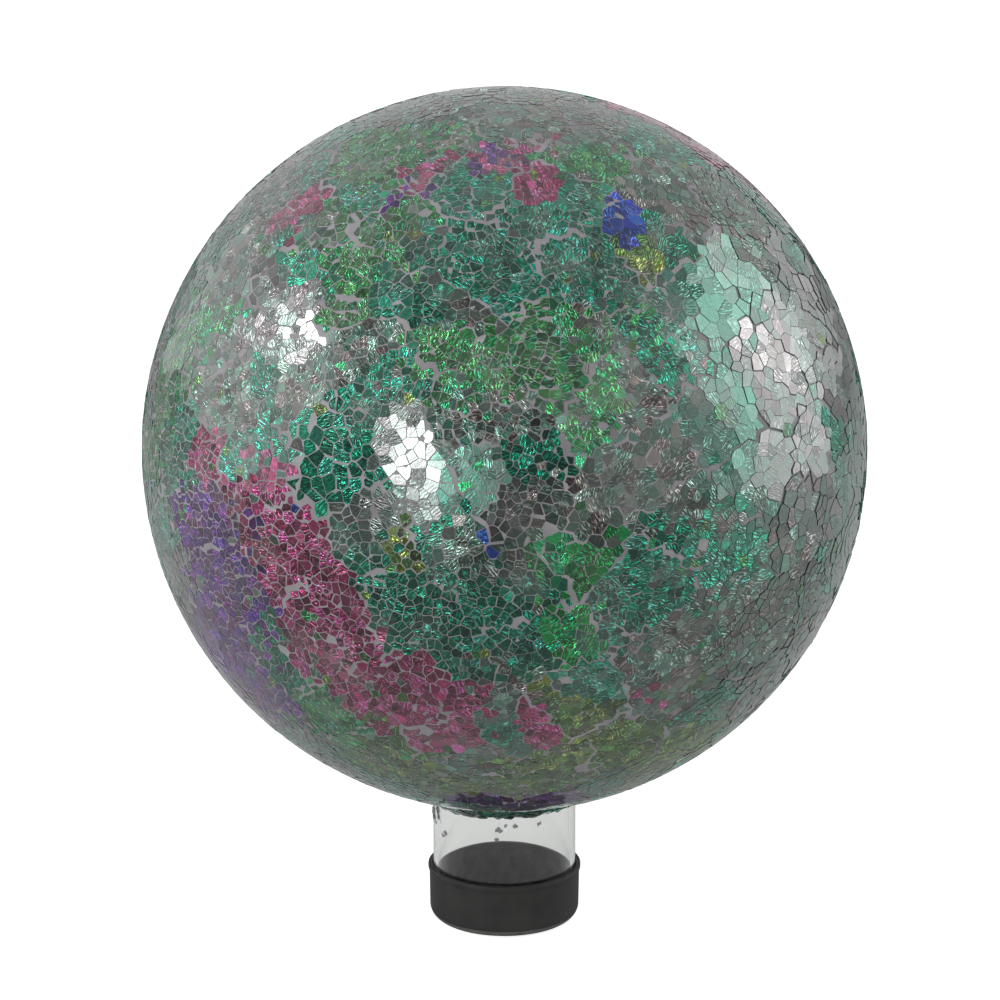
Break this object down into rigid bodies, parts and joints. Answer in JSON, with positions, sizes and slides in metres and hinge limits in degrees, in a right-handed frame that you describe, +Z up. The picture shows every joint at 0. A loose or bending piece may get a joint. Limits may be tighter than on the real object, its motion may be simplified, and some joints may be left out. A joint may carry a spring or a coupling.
{
  "type": "gazing globe",
  "caption": "Hollow blown-glass garden globe coated with iridescent crackle-glass mosaic, with a clear neck that ends in a black rubber cap.",
  "frame": {"origin": "centre of the rubber cap's underside, on the surface the globe stands on", "axes": "+Z up along the neck's axis; the picture looks along +Y, from a little above"},
  "size_m": [0.2533, 0.2535, 0.2999],
  "materials": {
    "clear_glass": "clear blown glass, polished",
    "crackle_mosaic": "opaque iridescent crackle-glass shards, glossy, in light-grey grout",
    "black_rubber": "moulded black rubber, matte and a little dusty"
  },
  "bodies": {
    "root": {"glass_globe": "clear_glass", "mosaic_skin": "crackle_mosaic", "rubber_cap": "black_rubber"}
  },
  "joints": []
}
